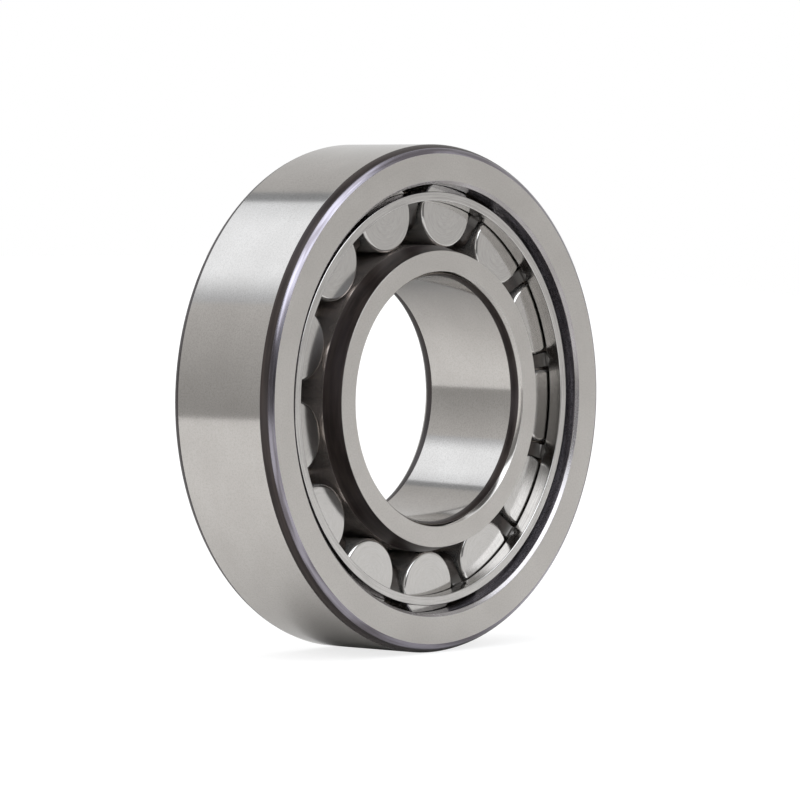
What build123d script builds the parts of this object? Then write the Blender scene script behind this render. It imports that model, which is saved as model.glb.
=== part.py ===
from build123d import *
from math import cos, radians, tan
import os

os.makedirs("parts", exist_ok=True)

# Single-row cylindrical roller bearing, 30 x 62 x 16 mm: flanged outer ring, plain inner ring.
# It stands upright. Its axis is Y, the origin is its centre, and its front face looks to -Y.
# Ring and cage profiles lie in the XY plane, with X as the radius, and turn about Y.
# Rollers are circles in the XZ plane, drawn out along Y.

# Boundary dimensions, mm
bore_d = 30.0
outside_d = 62.0
width = 16.0

# Raceways and rollers, mm
inner_raceway_d = 37.5
outer_raceway_d = 55.5
running_gap = 0.03  # between a roller and each raceway
roller_count = 13
roller_length = 10.0
roller_corner = 0.35
first_roller_angle = 23.6  # degrees from +X towards +Z

# Outer ring, mm
flange_bore_d = 52.4
flange_play = 0.03  # at each end of a roller
flange_edge = 0.35
relief_depth = 0.2
relief_width = 0.7
outside_corner_radial = 1.1
outside_corner_axial = 1.4
outside_corner_arc = 1.8

# Inner ring, mm
lead_in_face_d = 36.15
lead_in_angle = 15.0
bore_corner_radial = 0.6
bore_corner_axial = 1.5
bore_corner_arc = 2.2

# Cage pressed from sheet, mm
sheet = 1.1
rim_r = 24.7  # middle of the sheet
rim_recess = 1.0  # below the ring faces
rim_play = 0.15  # from a roller's end
rim_edge_round = 0.15
bar_r = 20.95  # middle of the sheet in the pressed-in length
bar_width = 1.8
bar_knee = 4.3  # half length at the outer bends
bar_flat = 3.2  # half length at the inner bends
bar_bend = 0.95  # to the middle of the sheet
window_corner = 0.3

# Worked out
half_width = width / 2
outside_r = outside_d / 2
bore_r = bore_d / 2
inner_raceway_r = inner_raceway_d / 2
outer_raceway_r = outer_raceway_d / 2
flange_bore_r = flange_bore_d / 2
pitch_r = (inner_raceway_r + outer_raceway_r) / 2
roller_r = (outer_raceway_r - inner_raceway_r) / 2 - running_gap
half_roller = roller_length / 2
half_track = half_roller + flange_play
rim_end = half_width - rim_recess
rim_side = half_roller + rim_play
roller_step = 360 / roller_count


# ---- outer ring ----
with BuildPart() as outer_ring:
    with BuildSketch(Plane.XY):
        with Locations(((flange_bore_r + outside_r) / 2, 0)):
            Rectangle(outside_r - flange_bore_r, width)
        # track between the flanges, cut up to the raceway
        with Locations((flange_bore_r, 0)):
            Rectangle(2 * (outer_raceway_r - flange_bore_r), 2 * half_track, mode=Mode.SUBTRACT)
        chamfer(vertices().group_by(Axis.X)[0], length=flange_edge)
        for side in (-1, 1):
            # relief groove in the corner of raceway and flange
            with Locations((outer_raceway_r, side * (half_track - relief_width / 2))):
                Rectangle(2 * relief_depth, relief_width, mode=Mode.SUBTRACT)
            # rounded outside corner
            corner = (outside_r, side * half_width)
            on_face = (outside_r - outside_corner_radial, side * half_width)
            on_side = (outside_r, side * (half_width - outside_corner_axial))
            with BuildLine():
                RadiusArc(on_face, on_side, side * outside_corner_arc)
                Polyline(on_side, corner, on_face)
            make_face(mode=Mode.SUBTRACT)
    revolve(axis=Axis.Y)
outer_ring.part.label = "outer_ring"
export_step(outer_ring.part, "parts/outer_ring.step")


# ---- inner ring ----
lead_in_face_r = lead_in_face_d / 2
lead_in_length = (inner_raceway_r - lead_in_face_r) / tan(radians(lead_in_angle))

with BuildPart() as inner_ring:
    with BuildSketch(Plane.XY):
        with Locations(((bore_r + inner_raceway_r) / 2, 0)):
            Rectangle(inner_raceway_r - bore_r, width)
        # lead-in tapers, so the ring slides in under the rollers
        chamfer(
            vertices().group_by(Axis.X)[-1],
            length=inner_raceway_r - lead_in_face_r,
            length2=lead_in_length,
        )
        for side in (-1, 1):
            # rounded bore corner
            corner = (bore_r, side * half_width)
            on_face = (bore_r + bore_corner_radial, side * half_width)
            on_bore = (bore_r, side * (half_width - bore_corner_axial))
            with BuildLine():
                RadiusArc(on_face, on_bore, -side * bore_corner_arc)
                Polyline(on_bore, corner, on_face)
            make_face(mode=Mode.SUBTRACT)
    revolve(axis=Axis.Y)
inner_ring.part.label = "inner_ring"
export_step(inner_ring.part, "parts/inner_ring.step")


# ---- cage ----
# One pressed ring of sheet with a window for each roller. Between the windows are bars, pressed inwards
# at mid length so that they keep the rollers in when the inner ring is drawn out.
half_step = radians(roller_step / 2)
window_inner_r = bar_r - 2 * sheet
window_outer_r = rim_r + 2 * sheet


def window_half(radius):
    """Half the width of a window, which leaves bars with parallel sides."""
    return radius * tan(half_step) - bar_width / 2 / cos(half_step)


with BuildPart() as window:
    with BuildSketch(Plane.XZ):
        with BuildLine():
            Polyline(
                (window_inner_r, -window_half(window_inner_r)),
                (window_outer_r, -window_half(window_outer_r)),
                (window_outer_r, window_half(window_outer_r)),
                (window_inner_r, window_half(window_inner_r)),
                close=True,
            )
        make_face()
    extrude(amount=rim_side, both=True)
    sloping = window.edges().filter_by(Axis.Y, reverse=True).filter_by(Axis.Z, reverse=True)
    fillet(sloping, radius=window_corner)

with BuildPart() as cage:
    with BuildSketch(Plane.XY):
        with BuildLine():
            FilletPolyline(
                (rim_r, -rim_end),
                (rim_r, -bar_knee),
                (bar_r, -bar_flat),
                (bar_r, bar_flat),
                (rim_r, bar_knee),
                (rim_r, rim_end),
                radius=bar_bend,
            )
        trace(line_width=sheet)
        for rim_corners in (vertices().group_by(Axis.Y)[0], vertices().group_by(Axis.Y)[-1]):
            fillet(rim_corners, radius=rim_edge_round)
    revolve(axis=Axis.Y)
    for number in range(roller_count):
        turn = first_roller_angle + number * roller_step
        add(window.part, rotation=(0, -turn, 0), mode=Mode.SUBTRACT)
cage.part.label = "cage"
export_step(cage.part, "parts/cage.step")


# ---- rollers ----
for number in range(roller_count):
    with BuildPart() as roller:
        with BuildSketch(Plane.XZ):
            turn = first_roller_angle + number * roller_step
            with PolarLocations(pitch_r, 1, start_angle=turn):
                Circle(roller_r)
        extrude(amount=half_roller, both=True)
        fillet(roller.edges().filter_by(GeomType.CIRCLE), radius=roller_corner)
    name = f"roller_{number + 1:02d}"
    roller.part.label = name
    export_step(roller.part, f"parts/{name}.step")
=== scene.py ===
import math

import bmesh
import bpy
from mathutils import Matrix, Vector


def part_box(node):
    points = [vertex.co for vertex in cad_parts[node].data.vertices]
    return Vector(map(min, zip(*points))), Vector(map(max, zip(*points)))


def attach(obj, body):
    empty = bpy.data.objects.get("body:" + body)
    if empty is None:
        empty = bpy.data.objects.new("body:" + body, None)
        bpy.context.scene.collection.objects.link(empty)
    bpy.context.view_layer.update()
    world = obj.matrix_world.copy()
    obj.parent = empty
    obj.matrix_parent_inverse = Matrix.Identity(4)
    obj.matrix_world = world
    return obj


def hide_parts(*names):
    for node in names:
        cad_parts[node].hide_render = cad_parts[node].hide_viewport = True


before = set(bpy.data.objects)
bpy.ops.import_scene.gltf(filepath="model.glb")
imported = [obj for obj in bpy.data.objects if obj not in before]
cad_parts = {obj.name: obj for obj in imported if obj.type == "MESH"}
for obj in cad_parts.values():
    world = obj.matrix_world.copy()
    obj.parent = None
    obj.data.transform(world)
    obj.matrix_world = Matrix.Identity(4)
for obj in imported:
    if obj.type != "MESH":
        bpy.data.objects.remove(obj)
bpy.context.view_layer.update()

# A cylindrical roller bearing standing upright: axis along Y, front face towards -Y, and the origin
# at its centre. Radii are measured from the Y axis. Lengths are metres, written as millimetres
# times MM, except in the finishes, which count in millimetres.
MM = 0.001
FULL_TURN = 2 * math.pi

# ---- sizes from the frame ----
half_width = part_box("outer_ring")[1].y
outside_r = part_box("outer_ring")[1].z
inner_track_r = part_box("inner_ring")[1].z
rim_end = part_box("cage")[1].y
rim_outer_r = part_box("cage")[1].z
rollers = sorted(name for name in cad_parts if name.startswith("roller_"))
first_low, first_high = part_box(rollers[0])
roller_seat = (first_low + first_high) / 2
roller_r = (first_high.z - first_low.z) / 2
roller_half = first_high.y
pitch_r = math.hypot(roller_seat.x, roller_seat.z)
first_turn = math.atan2(roller_seat.z, roller_seat.x)
roller_step = FULL_TURN / len(rollers)

# ---- sizes the frame's boxes don't give ----
bore_r = 15.0 * MM
outer_track_r = 27.75 * MM
half_track = roller_half + 0.03 * MM
flange_bore_r = 26.2 * MM
flange_edge = 0.35 * MM
relief_depth = 0.2 * MM
relief_width = 0.7 * MM
outside_corner = (1.1 * MM, 1.4 * MM)  # radial, axial
outside_corner_arc = 1.8 * MM
bore_corner = (0.6 * MM, 1.5 * MM)
bore_corner_arc = 2.2 * MM
lead_in_face_r = 18.075 * MM
lead_in_slope = math.tan(math.radians(15))
roller_corner = 0.35 * MM
sheet = 1.1 * MM
rim_r = rim_outer_r - sheet / 2
rim_side = roller_half + 0.15 * MM
bar_r = 20.95 * MM
bar_half = 0.9 * MM
bar_knee = 4.3 * MM
bar_flat = 3.2 * MM
bar_bend = 0.95 * MM
window_corner = 0.3 * MM
tumbled_edge = 0.13 * MM
edge_break = 0.05 * MM

# ---- how finely the pieces are made ----
ring_segments = 384
roller_segments = 96
rim_steps = 12
weld_reach = 0.0001 * MM
joint_reach = 0.001 * MM


# ======== node trees written as Python ========
class Value:
    """One output socket of a node, so that sums on it add Math nodes."""

    def __init__(self, board, socket):
        self.board = board
        self.socket = socket

    def out(self, name):
        """Another output of the same node."""
        return Value(self.board, self.socket.node.outputs[name])

    def __add__(self, other):
        return self.board.maths("ADD", self, other)

    def __radd__(self, other):
        return self.board.maths("ADD", other, self)

    def __sub__(self, other):
        return self.board.maths("SUBTRACT", self, other)

    def __rsub__(self, other):
        return self.board.maths("SUBTRACT", other, self)

    def __mul__(self, other):
        return self.board.maths("MULTIPLY", self, other)

    def __rmul__(self, other):
        return self.board.maths("MULTIPLY", other, self)

    def __truediv__(self, other):
        return self.board.maths("DIVIDE", self, other)

    def __pow__(self, other):
        return self.board.maths("POWER", self, other)

    def __abs__(self):
        return self.board.maths("ABSOLUTE", self)


class Board:
    """A node tree being laid out."""

    def __init__(self, tree):
        self.tree = tree

    def add(self, kind, settings=None, inputs=None):
        """Adds a node, sets it up, fills or links its inputs, and returns its first output."""
        node = self.tree.nodes.new(kind)
        settings = dict(settings or {})
        stops = settings.pop("stops", None)
        for name, value in settings.items():
            setattr(node, name, value)
        if stops:
            ramp = node.color_ramp
            while len(ramp.elements) < len(stops):
                ramp.elements.new(1.0)
            for element, (place, colour) in zip(ramp.elements, stops):
                element.position = place
                element.color = colour
        for key, value in (inputs or {}).items():
            if isinstance(value, Value):
                self.tree.links.new(value.socket, node.inputs[key])
            else:
                node.inputs[key].default_value = value
        outputs = [socket for socket in node.outputs if socket.enabled]
        return Value(self, outputs[0]) if outputs else None

    def maths(self, operation, *values):
        return self.add("ShaderNodeMath", {"operation": operation}, dict(enumerate(values)))

    def vectors(self, operation, first, second):
        settings = {"operation": operation}
        return self.add("ShaderNodeVectorMath", settings, {0: first, 1: second})

    def rises(self, value, start, end):
        """0 up to start, 1 from end on, and smooth between."""
        limits = {"Value": value, "From Min": start, "From Max": end}
        return self.add("ShaderNodeMapRange", {"interpolation_type": "SMOOTHSTEP"}, limits)

    def falls(self, value, start, end):
        """1 up to start, 0 from end on, and smooth between."""
        return 1.0 - self.rises(value, start, end)

    def larger(self, *values):
        result = values[0]
        for value in values[1:]:
            result = self.maths("MAXIMUM", result, value)
        return result

    def mix(self, factor, first, second):
        """A colour between two colours."""
        inputs = {0: factor, 6: first, 7: second}
        mixed = self.add("ShaderNodeMix", {"data_type": "RGBA"}, inputs)
        return Value(self, mixed.socket.node.outputs[2])

    def vector(self, first, second, third):
        return self.add("ShaderNodeCombineXYZ", {}, {0: first, 1: second, 2: third})

    def parts(self, vector):
        """The three parts of a vector."""
        first = self.add("ShaderNodeSeparateXYZ", {}, {0: vector})
        return first, first.out("Y"), first.out("Z")

    def object_place(self):
        return self.add("ShaderNodeTexCoord").out("Object")

    def noise(self, place, scale, detail=2.0, roughness=0.5):
        settings = {"Vector": place, "Scale": scale, "Detail": detail, "Roughness": roughness}
        return self.add("ShaderNodeTexNoise", {}, settings)


# ======== shape trees ========
def new_tree(name, inputs):
    """A shape tree with a geometry in and out, and named inputs given as {name: socket type}."""
    tree = bpy.data.node_groups.new(name, "GeometryNodeTree")
    tree.interface.new_socket(name="Geometry", in_out="INPUT", socket_type="NodeSocketGeometry")
    for label, kind in inputs.items():
        tree.interface.new_socket(name=label, in_out="INPUT", socket_type=kind)
    tree.interface.new_socket(name="Geometry", in_out="OUTPUT", socket_type="NodeSocketGeometry")
    board = Board(tree)
    given = board.add("NodeGroupInput")
    return tree, board, given


def close_tree(board, shape, material):
    """Realizes the shape, gives it its material and hands it out."""
    solid = board.add("GeometryNodeRealizeInstances", {}, {"Geometry": shape})
    coated = board.add("GeometryNodeSetMaterial", {}, {"Geometry": solid, "Material": material})
    board.add("NodeGroupOutput", {}, {"Geometry": coated})


def turning_tree():
    """Turns an outline about the Y axis, as on a lathe, then moves it out to its seat.

    The outline lies in the XY plane: X is the radius less Rail Radius, and Y runs along the axis.
    """
    tree, board, given = new_tree(
        "turning",
        {
            "Segments": "NodeSocketInt",
            "Rail Radius": "NodeSocketFloat",
            "Seat Radius": "NodeSocketFloat",
            "Seat Angle": "NodeSocketFloat",
            "Material": "NodeSocketMaterial",
        },
    )
    rail = board.add(
        "GeometryNodeCurvePrimitiveCircle",
        {"mode": "RADIUS"},
        {"Resolution": given.out("Segments"), "Radius": given.out("Rail Radius")},
    )
    rail = board.add("GeometryNodeSetCurveNormal", {"mode": "Z_UP"}, {"Curve": rail})
    outline = board.add("GeometryNodeMeshToCurve", {}, {"Mesh": given.out("Geometry")})
    skin = board.add("GeometryNodeCurveToMesh", {}, {"Curve": rail, "Profile Curve": outline})
    upright = board.add(
        "GeometryNodeTransform", {}, {"Geometry": skin, "Rotation": (math.pi / 2, 0, 0)}
    )
    seam = {"Geometry": upright, "Distance": weld_reach}
    welded = board.add("GeometryNodeMergeByDistance", {}, seam)
    place = board.add("GeometryNodeInputPosition")
    marked = board.add(
        "GeometryNodeStoreNamedAttribute",
        {"data_type": "FLOAT_VECTOR", "domain": "POINT"},
        {"Geometry": welded, "Name": "from_own_axis", "Value": place},
    )
    angle = given.out("Seat Angle")
    out = given.out("Seat Radius")
    seat = board.vector(out * board.maths("COSINE", angle), 0.0, out * board.maths("SINE", angle))
    moved = board.add("GeometryNodeTransform", {}, {"Geometry": marked, "Translation": seat})
    close_tree(board, moved, given.out("Material"))
    return tree


def window_ring_tree():
    """Repeats one window of the cage round the Y axis and welds the joints."""
    tree, board, given = new_tree(
        "window_ring",
        {
            "Count": "NodeSocketInt",
            "First Angle": "NodeSocketFloat",
            "Material": "NodeSocketMaterial",
        },
    )
    count = given.out("Count")
    turn = board.add("GeometryNodeInputIndex") / count * FULL_TURN + given.out("First Angle")
    facing = board.add(
        "FunctionNodeEulerToRotation", {}, {"Euler": board.vector(0.0, 0.0 - turn, 0.0)}
    )
    places = board.add("GeometryNodePoints", {}, {"Count": count})
    windows = board.add(
        "GeometryNodeInstanceOnPoints",
        {},
        {"Points": places, "Instance": given.out("Geometry"), "Rotation": facing},
    )
    sheet_ring = board.add("GeometryNodeRealizeInstances", {}, {"Geometry": windows})
    joints = {"Geometry": sheet_ring, "Distance": joint_reach}
    welded = board.add("GeometryNodeMergeByDistance", {}, joints)
    close_tree(board, welded, given.out("Material"))
    return tree


# ======== outlines ========
def arc_between(start, end, radius, corner, steps=8):
    """Points from start to end on an arc of that radius, which bows towards corner."""
    start, end, corner = Vector(start), Vector(end), Vector(corner)
    middle = (start + end) / 2
    along = (end - start) / 2
    out = Vector((-along.y, along.x)).normalized()
    if out.dot(corner - middle) < 0:
        out = -out
    centre = middle - out * math.sqrt(radius**2 - along.length_squared)
    first = math.atan2(start.y - centre.y, start.x - centre.x)
    sweep = math.atan2(end.y - centre.y, end.x - centre.x) - first
    sweep = (sweep + math.pi) % FULL_TURN - math.pi
    turns = [first + sweep * step / steps for step in range(steps + 1)]
    return [(centre.x + radius * math.cos(t), centre.y + radius * math.sin(t)) for t in turns]


def eased(points, radius, closed=True, steps=4, least_turn=math.radians(12)):
    """The outline with an arc at each sharp corner, and a point beside it to keep flats flat."""
    most_of_side, hold_share = 0.4, 0.3
    result = []
    count = len(points)
    for index, point in enumerate(points):
        here = Vector(point)
        if not closed and index in (0, count - 1):
            result.append(tuple(here))
            continue
        before = Vector(points[index - 1]) - here
        after = Vector(points[(index + 1) % count]) - here
        turn = math.pi - before.angle(after)
        if turn < least_turn:
            result.append(tuple(here))
            continue
        reach = radius * math.tan(turn / 2)
        reach = min(reach, before.length * most_of_side, after.length * most_of_side)
        bend = reach / math.tan(turn / 2)
        start = here + before.normalized() * reach
        end = here + after.normalized() * reach
        hold = hold_share * reach
        result.append(tuple(start + before.normalized() * hold))
        result += arc_between(start, end, bend, here, steps)
        result.append(tuple(end + after.normalized() * hold))
    return result


def mirrored(half):
    """An outline from its half on the +Y side."""
    return half + [(radius, -along) for radius, along in reversed(half)]


def outer_ring_outline():
    radial, axial = outside_corner
    face_start = (outside_r - radial, half_width)
    side_start = (outside_r, half_width - axial)
    relief_r = outer_track_r + relief_depth
    half = [
        (outer_track_r, half_track - relief_width),
        (relief_r, half_track - relief_width),
        (relief_r, half_track),
        (flange_bore_r + flange_edge, half_track),
        (flange_bore_r, half_track + flange_edge),
        (flange_bore_r, half_width - flange_edge),
        (flange_bore_r + flange_edge, half_width),
    ]
    tip = (outside_r, half_width)
    half += arc_between(face_start, side_start, outside_corner_arc, tip)
    return eased(mirrored(half), edge_break)


def inner_ring_outline():
    radial, axial = bore_corner
    lead_in = (inner_track_r - lead_in_face_r) / lead_in_slope
    face_start = (bore_r + radial, half_width)
    bore_start = (bore_r, half_width - axial)
    half = [(inner_track_r, half_width - lead_in), (lead_in_face_r, half_width)]
    half += arc_between(face_start, bore_start, bore_corner_arc, (bore_r, half_width))
    return eased(mirrored(half), edge_break)


def roller_outline():
    half = [(0, roller_half), (roller_r, roller_half)]
    return eased(mirrored(half), roller_corner, closed=False, steps=6)


def outline_mesh(name, points, rail_radius, closed):
    """An outline as a wire in the XY plane, with radii counted from the rail."""
    mesh = bpy.data.meshes.new(name)
    last = len(points) if closed else len(points) - 1
    edges = [(index, (index + 1) % len(points)) for index in range(last)]
    mesh.from_pydata([(radius - rail_radius, along, 0) for radius, along in points], edges, [])
    return mesh


# ======== the cage's sheet ========
def bar_path():
    """Middle of the sheet along a bar, from one rim to the other, with its four bends."""
    corners = [(rim_r, bar_knee), (bar_r, bar_flat), (bar_r, -bar_flat), (rim_r, -bar_knee)]
    start, end = (rim_r, rim_side - window_corner), (rim_r, -rim_side + window_corner)
    path = [start]
    chain = [start] + corners + [end]
    for before, here, after in zip(chain, chain[1:], chain[2:]):
        back = Vector(before) - Vector(here)
        ahead = Vector(after) - Vector(here)
        reach = bar_bend / math.tan(back.angle(ahead) / 2)
        first = Vector(here) + back.normalized() * reach
        last = Vector(here) + ahead.normalized() * reach
        path += arc_between(first, last, bar_bend, here, steps=9)
    return path + [end]


def window_mesh():
    """The sheet round one window: half a bar on each side and both rims, centred on the X axis.

    Two loops with the same number of points are made, the window's edge and the border of its
    share of the sheet, and quads are laid between them.
    """
    half_share = roller_step / 2
    window_end = half_share - math.asin(bar_half / rim_r) - window_corner / rim_r

    def place(radius, along, angle):
        return (radius * math.cos(angle), along, radius * math.sin(angle))

    def corner(side, end):
        """Points round the window's corner from the bar to the rim, with their partners."""
        partners = [
            (half_share, rim_side - window_corner),
            (half_share, (rim_side + rim_end) / 2),
            (half_share, rim_end),
            ((half_share + window_end) / 2, rim_end),
            (window_end, rim_end),
        ]
        found = []
        for step, (share_angle, share_along) in enumerate(partners):
            turn = math.pi / 2 * step / (len(partners) - 1)
            angle = window_end + window_corner * math.cos(turn) / rim_r
            along = rim_side - window_corner * (1 - math.sin(turn))
            here = place(rim_r, end * along, side * angle)
            found.append((here, place(rim_r, end * share_along, side * share_angle)))
        return found

    def bar(side):
        found = []
        for radius, along in bar_path()[1:-1]:
            angle = half_share - math.asin(bar_half / radius)
            here = place(radius, along, side * angle)
            found.append((here, place(radius, along, side * half_share)))
        return found

    def rim(end):
        found = []
        for step in range(1, rim_steps):
            angle = window_end * (1 - 2 * step / rim_steps)
            here = place(rim_r, end * rim_side, angle)
            found.append((here, place(rim_r, end * rim_end, angle)))
        return found

    loop = bar(1)[::-1] + corner(1, 1) + rim(1) + corner(-1, 1)[::-1]
    loop += bar(-1) + corner(-1, -1) + rim(-1)[::-1] + corner(1, -1)[::-1]
    edge = [here for here, partner in loop]
    border = [partner for here, partner in loop]
    count = len(loop)
    faces = [(i, (i + 1) % count, count + (i + 1) % count, count + i) for i in range(count)]
    mesh = bpy.data.meshes.new("cage_window")
    mesh.from_pydata(edge + border, [], faces)
    return mesh


# ======== finishes ========
# Colours of steel, as linear red, green, blue and 1. A pair is the two ends of a cloudy mix.
GROUND = (0.480, 0.457, 0.432, 1), (0.515, 0.492, 0.466, 1)
GROUND_LINE = (0.42, 0.40, 0.378, 1)
GROUND_GRAIN = (0.37, 0.352, 0.33, 1)
OILY = (0.40, 0.345, 0.30, 1), (0.50, 0.44, 0.39, 1)
# Hardening scale on unground corners. The same colours are also painted shade in the outer ring's
# flange bores.
SCALE = (0.016, 0.011, 0.010, 1), (0.034, 0.025, 0.022, 1)
SCALE_AND_SHADE_SWEEP = (0.050, 0.042, 0.046, 1)
HALF_GROUND = (0.15, 0.135, 0.15, 1), (0.32, 0.30, 0.34, 1)
HONED = (0.52, 0.504, 0.484, 1), (0.45, 0.436, 0.42, 1)
HONED_RING = (0.42, 0.40, 0.375, 1)
TUMBLED = (0.52, 0.503, 0.484, 1), (0.42, 0.406, 0.39, 1)
# Painted shade: near-black colours for the cage's bars between the rims and for their bends.
BAR_PAINTED_SHADE = (0.020, 0.016, 0.014, 1), (0.045, 0.037, 0.032, 1)
BEND_PAINTED_SHADE = (0.065, 0.06, 0.055, 1)

# Where the finishes change: the start and end of a soft step, in millimetres from the axis (R) or
# from the middle plane (Y).
RING_FACE_Y = 7.9, 7.97
CHAMFER_Y = 7.6, 7.7
CHAMFER_INNER_R = 26.0, 26.1
CHAMFER_OUTER_R = 26.55, 26.65
FLANGE_BORE_R = 26.5, 26.6
OUTER_TRACK_R = 28.5, 28.7
OUTER_TRACK_Y = 6.9, 7.1
CORNER_R = 29.86, 29.92
CORNER_Y = 6.6, 6.66
SHOULDER_R = 30.5, 30.6
SHOULDER_Y = 7.58, 7.66
BORE_EDGE_R = 15.56, 15.64
BORE_EDGE_START_Y = 6.42, 6.52
BORE_EDGE_END_Y = 7.5, 7.6
TAPER_R = 18.05, 18.11
TAPER_Y = 5.4, 5.55
INNER_TRACK_R = 18.6, 18.7
ROLLER_END_Y = 4.9, 4.97
RIM_Y = 5.1, 5.4
BEND_Y = 4.35, 4.6


def new_finish(name):
    """An all-metal finish: its material, its board and its shader node."""
    material = bpy.data.materials.new(name)
    material.use_nodes = True
    material.node_tree.nodes.clear()
    board = Board(material.node_tree)
    shader = board.add("ShaderNodeBsdfPrincipled", {}, {"Metallic": 1.0})
    board.add("ShaderNodeOutputMaterial", {}, {"Surface": shader})
    return material, board, shader.socket.node


def in_millimetres(board, place):
    settings = {"operation": "SCALE"}
    return board.add("ShaderNodeVectorMath", settings, {0: place, "Scale": 1 / MM})


def around_axis(board, place):
    """Radius, distance from the middle plane, and a place in which marks run round the Y axis."""
    across, along, up = board.parts(place)
    radius = (across * across + up * up) ** 0.5
    never_zero = radius + 0.001
    marks = board.vector(along + radius, across / never_zero, up / never_zero)
    return radius, abs(along), marks


def stretched(board, marks, along_scale, round_scale):
    """Marks made finer along the axis and coarser round it, or the other way."""
    return board.vectors("MULTIPLY", marks, (along_scale, round_scale, round_scale))


def between(board, factor, pair):
    first, second = pair
    return board.mix(factor, first, second)


def surface(board, shader, colour, roughness, metal, height, depth):
    """Links a finish's varying inputs. Depth is the height of the marks in metres."""
    bump = board.add("ShaderNodeBump", {}, {"Height": height, "Distance": depth})
    varying = {
        "Base Color": colour, "Roughness": roughness, "Metallic": metal, "Normal": bump,
    }
    for label, value in varying.items():
        board.tree.links.new(value.socket, shader.inputs[label])


def grinding_arcs(board, place, centre, shift):
    """Scratches in arcs about a centre well outside the ring, as a cup wheel leaves them."""
    reach = board.vectors("DISTANCE", place, centre).out("Value")
    return board.noise(board.vector(reach * 7.0, shift, 0.0), 1.0, 3.0, 0.8)


def ground_ring_steel(name, zones):
    """Ground bearing steel. The zones say where it is dark, from hardening scale and, in the outer
    ring's flange bores, also from painted shade; where that is half ground away; and where it is
    oiled."""
    material, board, shader = new_finish(name)
    place = in_millimetres(board, board.object_place())
    radius, along, marks = around_axis(board, place)
    dark, polished, oiled = zones(board, place, radius, along)
    chamfer = board.rises(along, *CHAMFER_Y) * board.rises(radius, *CHAMFER_INNER_R)
    chamfer = chamfer * board.falls(radius, *CHAMFER_OUTER_R)
    face = board.larger(board.rises(along, *RING_FACE_Y), chamfer)

    lines = board.noise(stretched(board, marks, 9.0, 2.0), 1.0, 4.0, 0.7)
    bands = board.noise(stretched(board, marks, 1.4, 3.0), 1.0, 3.0)
    sweep = board.noise(stretched(board, marks, 0.25, 1.6), 1.0, 2.0)
    right_arcs = grinding_arcs(board, place, (58.0, 0.0, 31.0), 0.0)
    left_arcs = grinding_arcs(board, place, (-61.0, 0.0, 22.0), 4.0)
    crossing = (right_arcs + left_arcs) / 2
    grain = board.noise(place, 5.0, 2.0, 0.8)
    cloud = board.noise(place, 0.16, 3.0)

    bright = between(board, board.rises(cloud, 0.3, 0.7), GROUND)
    bright = board.mix(board.rises(lines, 0.42, 0.75) * 0.2, bright, GROUND_LINE)
    bright = board.mix(board.rises(grain, 0.4, 0.7) * 0.5, bright, GROUND_GRAIN)
    bright = board.mix(oiled, bright, between(board, board.rises(grain, 0.3, 0.7), OILY))
    banding = board.rises(bands, 0.35, 0.65)
    # Dark scale colour. In the outer ring's flange bores it is also painted shade.
    scale = between(board, banding, SCALE)
    scale = board.mix(board.rises(sweep, 0.45, 0.75) * 0.5, scale, SCALE_AND_SHADE_SWEEP)
    colour = board.mix(polished, bright, between(board, banding, HALF_GROUND))
    colour = board.mix(dark, colour, scale)

    smooth = 0.08 + lines * 0.06
    satin = 0.25 + crossing * 0.1 + grain * 0.05
    rough = smooth + (satin - smooth) * face
    rough = rough + (0.3 + bands * 0.15 - rough) * dark
    rough = rough + (0.15 + bands * 0.1 - rough) * polished * (1.0 - dark)
    metal = 1.0 - dark * 0.5 - oiled * 0.18
    height = lines + (crossing * 0.7 + grain * 0.5 - lines) * face
    surface(board, shader, colour, rough, metal, height, 0.0006 * MM)
    return material


def outer_zones(board, place, radius, along):
    """The outer ring's dark, half-ground and oiled parts, each from 0 to 1.

    The corner's outer part is dark with scale. The flanges' bores are dark with scale and with
    painted shade for the shade inside the ring, with bright specks in the bores. The corner's inner
    part is half ground. The raceway and the bores are oiled.
    """
    corner = board.rises(radius, *CORNER_R) * board.rises(along, *CORNER_Y)
    shoulder = board.rises(radius, *SHOULDER_R) * board.falls(along, *SHOULDER_Y)
    bore = board.falls(radius, *FLANGE_BORE_R) * board.falls(along, *CHAMFER_Y)
    specks = board.noise(place, 1.5, 4.0, 0.85)
    # Painted shade: the flange bores are darkened for scale and for the shade inside the ring, less
    # so at the specks.
    bore_scale_and_shade = bore * (0.62 - board.rises(specks, 0.43, 0.55) * 0.6)
    chamfer = board.falls(radius, *CHAMFER_OUTER_R) * board.rises(along, *CHAMFER_Y)
    track = board.falls(along, *OUTER_TRACK_Y) * board.falls(radius, *OUTER_TRACK_R)
    dark = board.larger(corner * shoulder, bore_scale_and_shade)
    polished = board.larger(corner, bore, chamfer * 0.45)
    return dark, polished, board.larger(track, bore)


def inner_zones(board, place, radius, along):
    """The same for the inner ring: the bore's corners and the tapers are dark, and the raceway is
    oiled."""
    bore_edge = board.rises(along, *BORE_EDGE_START_Y) * board.falls(along, *BORE_EDGE_END_Y)
    bore_edge = bore_edge * board.falls(radius, *BORE_EDGE_R)
    taper = board.rises(radius, *TAPER_R) * board.rises(along, *TAPER_Y)
    track = board.rises(radius, *INNER_TRACK_R)
    return board.larger(bore_edge, taper), track * 0.3, track


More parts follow.
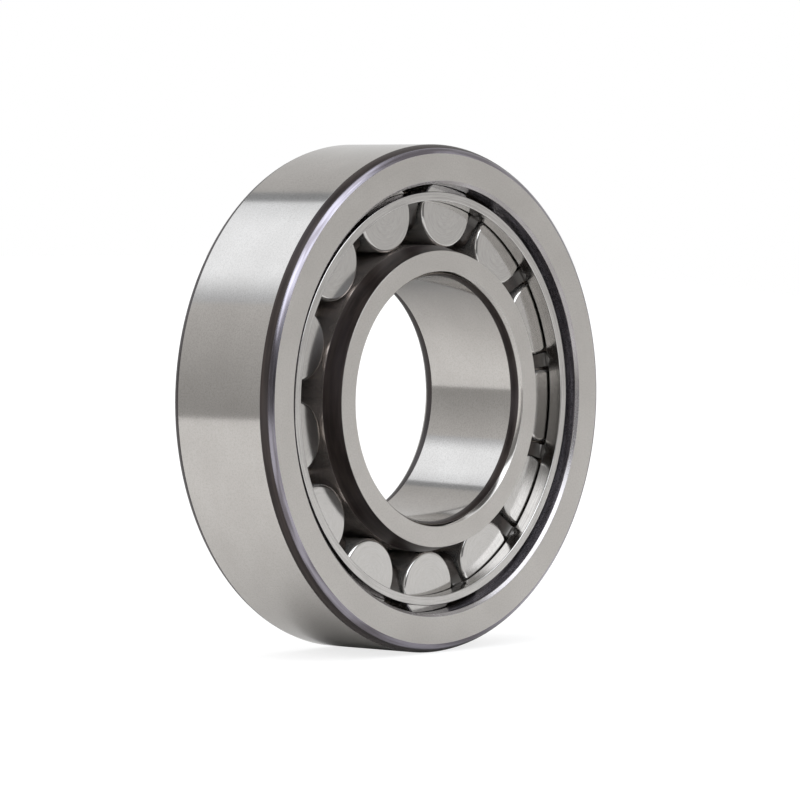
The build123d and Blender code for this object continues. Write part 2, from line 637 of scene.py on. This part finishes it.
def roller_steel():
    """Ground and honed roller steel, with marks that run round each roller's own axis."""
    material, board, shader = new_finish("roller_ground_steel")
    own = board.add("ShaderNodeAttribute", {"attribute_name": "from_own_axis"}).out("Vector")
    place = in_millimetres(board, own)
    radius, along, marks = around_axis(board, place)
    end = board.rises(along, *ROLLER_END_Y)
    lines = board.noise(stretched(board, marks, 10.0, 2.0), 1.0, 4.0, 0.7)
    rings = board.noise(stretched(board, marks, 3.5, 1.0), 1.0, 3.0, 0.6)
    grain = board.noise(place, 9.0, 3.0, 0.7)
    colour = between(board, board.rises(lines, 0.35, 0.7), HONED)
    colour = board.mix(board.rises(rings, 0.4, 0.65) * end * 0.18, colour, HONED_RING)
    rough = 0.09 + lines * 0.05
    rough = rough + (0.10 + rings * 0.06 - rough) * end
    metal = 1.0 - (1.0 - end) * 0.16
    height = lines + (rings * 0.5 + grain * 0.2 - lines) * end
    surface(board, shader, colour, rough, metal, height, 0.0003 * MM)
    return material


def cage_steel():
    """Pressed and tumbled sheet: soft pits, a few rubbed streaks, and painted shade between the
    rims, where the bars and their bends are coloured near-black and made half metal.
    """
    material, board, shader = new_finish("cage_pressed_steel")
    place = in_millimetres(board, board.object_place())
    radius, along, marks = around_axis(board, place)
    rim = board.rises(along, *RIM_Y)
    pits = board.noise(place, 2.6, 4.0, 0.6)
    rub = board.noise(stretched(board, marks, 5.0, 5.0), 1.0, 3.0, 0.6)
    cloud = board.noise(place, 0.5, 3.0)
    bright = between(board, board.rises(rub, 0.35, 0.7), TUMBLED)
    # Painted shade: the bars and bends between the rims get near-black colours, standing in for the
    # shade among the rollers.
    painted_bar_shade = between(board, board.rises(cloud, 0.35, 0.65), BAR_PAINTED_SHADE)
    painted_bar_shade = board.mix(board.rises(along, *BEND_Y), painted_bar_shade, BEND_PAINTED_SHADE)
    rough = 0.13 + pits * 0.12 + rub * 0.04
    height = pits * 2.0 + rub * 0.4
    colour = board.mix(rim, painted_bar_shade, bright)
    surface(board, shader, colour, rough, 0.5 + rim * 0.5, height, 0.0025 * MM)
    return material


# ======== making the pieces ========
def settle(name, mesh, modifiers):
    """A plain piece made from a base mesh and the modifiers that modifiers adds to its holder."""
    holder = bpy.data.objects.new(name, mesh)
    bpy.context.scene.collection.objects.link(holder)
    modifiers(holder)
    bpy.context.view_layer.update()
    graph = bpy.context.evaluated_depsgraph_get()
    made = bpy.data.meshes.new_from_object(
        holder.evaluated_get(graph), preserve_all_data_layers=True, depsgraph=graph
    )
    made.name = name
    for index in reversed(range(len(made.materials))):
        if made.materials[index] is None:
            made.materials.pop(index=index)
    holder.modifiers.clear()
    holder.data = made
    bpy.data.meshes.remove(mesh)
    return holder


def with_tree(tree, **values):
    """Adds a shape tree to a holder, with its named inputs filled in."""
    def add(holder):
        modifier = holder.modifiers.new(tree.name, "NODES")
        modifier.node_group = tree
        for item in tree.interface.items_tree:
            key = item.name.replace(" ", "_").lower()
            if item.in_out == "INPUT" and key in values:
                modifier[item.identifier] = values[key]
    return add


def outward(mesh):
    """Welds what coincides, turns the faces outward and shades them smooth."""
    shape = bmesh.new()
    shape.from_mesh(mesh)
    bmesh.ops.remove_doubles(shape, verts=shape.verts, dist=weld_reach)
    bmesh.ops.recalc_face_normals(shape, faces=shape.faces)
    for face in shape.faces:
        face.smooth = True
    shape.to_mesh(mesh)
    shape.free()


def turned(
    name, outline, material, closed=True, segments=ring_segments, seat_radius=0.0, seat_angle=0.0
):
    """A piece turned from its outline, and moved out to its seat if it has one."""
    radii = [radius for radius, along in outline]
    rail = (min(radii) + max(radii)) / 2
    wire = outline_mesh(name + "_outline", outline, rail, closed)
    tree = with_tree(
        turning,
        segments=segments,
        rail_radius=rail,
        seat_radius=seat_radius,
        seat_angle=seat_angle,
        material=material,
    )
    piece = settle(name, wire, tree)
    outward(piece.data)
    return piece


def thicken(holder):
    """Gives the sheet its thickness, rounds its cut edges and keeps its flats flat."""
    plate = holder.modifiers.new("sheet", "SOLIDIFY")
    plate.thickness = sheet
    plate.offset = 0.0
    rounding = holder.modifiers.new("rounded_edges", "BEVEL")
    rounding.width = tumbled_edge
    rounding.segments = 3
    rounding.limit_method = "ANGLE"
    rounding.angle_limit = math.radians(50)  # between the bends in the sheet and its cut edges
    flats = holder.modifiers.new("flats", "WEIGHTED_NORMAL")
    flats.keep_sharp = False


def pressed_cage(name, material):
    """The cage: a ring of windows in thin sheet, then the same ring thickened."""
    tree = with_tree(windows, count=len(rollers), first_angle=first_turn, material=material)
    ring = settle(name + "_sheet", window_mesh(), tree)
    outward(ring.data)
    cage = settle(name, ring.data.copy(), thicken)
    bpy.data.objects.remove(ring)
    return cage


turning = turning_tree()
windows = window_ring_tree()
outer_steel = ground_ring_steel("outer_ring_ground_steel", outer_zones)
inner_steel = ground_ring_steel("inner_ring_ground_steel", inner_zones)
sheet_steel = cage_steel()
honed_steel = roller_steel()

outer = turned("outer_ring_turned", outer_ring_outline(), outer_steel)
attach(outer, "outer_ring")
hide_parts("outer_ring")

inner = turned("inner_ring_turned", inner_ring_outline(), inner_steel)
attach(inner, "inner_ring")
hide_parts("inner_ring")

cage = pressed_cage("cage_pressed", sheet_steel)
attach(cage, "cage")
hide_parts("cage")

for number, node in enumerate(rollers):
    roller = turned(
        node + "_ground",
        roller_outline(),
        honed_steel,
        closed=False,
        segments=roller_segments,
        seat_radius=pitch_r,
        seat_angle=first_turn + number * roller_step,
    )
    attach(roller, node)
    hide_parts(node)


# ======== floor, studio and camera ========
def grey(level):
    return (level, level, level, 1)


def lamp(level):
    """A lamp's slightly cool light."""
    return (level * 0.955, level, level * 1.06, 1)


def stage_sheet(name, points, material):
    """A four-cornered sheet that belongs to the studio."""
    mesh = bpy.data.meshes.new(name)
    mesh.from_pydata([tuple(point) for point in points], [], [(0, 1, 2, 3)])
    mesh.materials.append(material)
    sheet_object = bpy.data.objects.new(name, mesh)
    bpy.context.scene.collection.objects.link(sheet_object)
    return sheet_object


def floor(name, drop, paleness, glow, shade=0.0):
    """A pale sheet under the ring, which stops a little way off on the left and in front.

    Shade is the part of its paleness that it loses behind the ring on the right, away from the
    light.
    """
    left = Vector((-0.743, 0.669, 0.0))
    away = Vector((0.669, 0.743, 0.0))
    down = Vector((0, 0, -outside_r - drop))
    left_end, right_end, near_end, far_end = 0.268, -0.4, -0.26, 3.0
    corners = [
        (left_end, near_end), (right_end, near_end), (right_end, far_end), (left_end, far_end)
    ]
    points = [left * aside + away * far + down for aside, far in corners]
    material = bpy.data.materials.new(name + "_paper")
    material.use_nodes = True
    paper = material.node_tree.nodes["Principled BSDF"]
    paper.inputs["Base Color"].default_value = grey(paleness)
    paper.inputs["Emission Color"].default_value = grey(1.0)
    paper.inputs["Emission Strength"].default_value = glow
    paper.inputs["Roughness"].default_value = 0.9
    paper.inputs["Specular IOR Level"].default_value = 0.1
    if shade:
        board = Board(material.node_tree)
        across, back, up = board.parts(board.object_place())
        shadow = board.rises(across, -20 * MM, 60 * MM) * board.rises(back, 0.0, 20 * MM)
        level = paleness * (1.0 - shadow * shade)
        board.tree.links.new(level.socket, paper.inputs["Base Color"])
    return stage_sheet(name, points, material)


def lamp_panel():
    """A soft panel over the ring's back left, which only reflections see. Its left end fades out."""
    right, left = Vector((12, 0, 174)) * MM, Vector((-140, 0, 120)) * MM
    near, far = Vector((0, 50, 0)) * MM, Vector((0, 300, 0)) * MM
    frame_share = 0.14
    length = (left - right).length
    frame_end = right - (left - right) * frame_share
    material = bpy.data.materials.new("lamp_panel_cloth")
    material.use_nodes = True
    material.node_tree.nodes.clear()
    board = Board(material.node_tree)
    leftward = tuple((left - right) / length / length)
    along = board.vectors("DOT_PRODUCT", board.object_place(), leftward).out("Value")
    along = along - right.dot(left - right) / length**2
    frame_level, cloth_level, cloth_rise, faded_level = 0.42, 0.93, 0.31, 0.76
    cloth = cloth_level + cloth_rise * board.rises(along, 0.0, 0.35)
    strength = frame_level + board.rises(along, 0.0, 0.02) * cloth
    strength = strength + (faded_level - strength) * board.rises(along, 0.68, 1.03)
    glow = board.add("ShaderNodeEmission", {}, {"Color": lamp(1.0), "Strength": strength})
    board.add("ShaderNodeOutputMaterial", {}, {"Surface": glow})
    points = [frame_end + near, left + near, left + far, frame_end + far]
    panel = stage_sheet("lamp_panel", points, material)
    panel.visible_camera = False
    panel.visible_diffuse = False
    panel.visible_shadow = False


def studio():
    """Long soft panels round the ring: bright overhead, grey walls, and a bright panel in front.

    A colour ramp holds no level above 1, so the ramps hold half of each level and the background
    doubles it.
    """
    world = bpy.data.worlds.new("studio")
    bpy.context.scene.world = world
    world.use_nodes = True
    world.node_tree.nodes.clear()
    board = Board(world.node_tree)
    toward = board.add("ShaderNodeTexCoord")
    across, along, up = board.parts(toward)
    turn = board.maths("ARCTAN2", up, across) / FULL_TURN
    turn = board.maths("FRACT", turn)

    def ramp(stops, place):
        return board.add("ShaderNodeValToRGB", {"stops": stops}, {"Fac": place})

    # level of the wall behind, by angle in degrees round the Y axis from +X, up over the top
    wall = [
        (0, 0.72), (30, 0.77), (62, 0.74), (80, 0.66), (96, 0.66), (102, 1.60), (118, 1.60),
        (124, 1.00), (137, 0.80), (144, 0.75), (158, 0.66), (170, 0.57), (184, 0.50),
        (200, 0.50), (300, 0.62),
    ]
    tints = [lamp if level > 1 else grey for angle, level in wall]
    back = ramp(
        [(angle / 360, tint(level / 2)) for tint, (angle, level) in zip(tints, wall)], turn
    )
    # level of the wall in front, from its left end at 0 to its right end at 1
    aside = [
        (0.0, 1.3), (0.06, 1.1), (0.12, 0.35), (0.30, 0.25), (0.40, 0.14), (0.60, 0.16),
        (0.72, 0.5), (0.82, 0.75), (1.0, 0.77),
    ]
    front_wall = ramp([(place, grey(level / 2)) for place, level in aside], across * 0.5 + 0.5)
    overhead = board.rises(up, 0.25, 0.38) * board.falls(up, 0.86, 0.95)
    overhead = overhead * board.rises(across, -0.56, -0.42) * board.falls(across, 0.3, 0.5)
    front = board.mix(overhead, front_wall, lamp(1.75))
    light = board.mix(board.rises(along, -0.1, 0.2), front, back)

    # The camera sees plain white, and matt surfaces are lit by one soft key light from the left.
    seen = board.add("ShaderNodeLightPath")
    matt = seen.out("Is Diffuse Ray")
    light = board.mix(seen, light, grey(1.0))
    key_side = (-0.55, 0.0, 0.83)
    key = board.vectors("DOT_PRODUCT", toward, key_side).out("Value")
    key = board.rises(key, -0.1, 0.9)
    light = board.mix(matt, light, board.mix(key, grey(0.15), grey(1.3)))
    settings = {"Color": light, "Strength": 2.0 - seen}
    background = board.add("ShaderNodeBackground", {}, settings)
    board.add("ShaderNodeOutputWorld", {}, {"Surface": background})


def camera():
    """A long lens a little above the axis, towards the left of the front face."""
    turn, rise = math.radians(-48.717), math.radians(2.528)
    distance, aside, lift = 623.2 * MM, -4.994 * MM, -0.123 * MM
    level_reach = math.cos(rise)
    back = Vector((math.sin(turn) * level_reach, -math.cos(turn) * level_reach, math.sin(rise)))
    right = Vector((math.cos(turn), math.sin(turn), 0.0))
    above = back.cross(right)
    eye = bpy.data.objects.new("camera", bpy.data.cameras.new("camera"))
    eye.data.lens = 230.2
    eye.data.sensor_width = 36.0
    eye.data.clip_start = 0.01
    eye.data.clip_end = 10.0
    face_centre = Vector((0, -half_width, 0))
    eye.location = face_centre + right * aside + above * lift + back * distance
    eye.rotation_euler = back.to_track_quat("Z", "Y").to_euler()
    bpy.context.scene.collection.objects.link(eye)
    bpy.context.scene.camera = eye


# Two sheets, a hair apart: a bright one that only the camera sees, and a grey one that lights and
# mirrors in the ring.
light_table = floor("floor", 0.0, 0.2, 0.78)
light_table.visible_glossy = False
light_table.visible_diffuse = False
light_table.visible_shadow = False
grey_floor = floor("floor_under_the_light", 0.2 * MM, 0.58, 0.0, shade=0.68)
grey_floor.visible_camera = False
lamp_panel()
studio()
camera()
bpy.context.scene.view_settings.view_transform = "Standard"
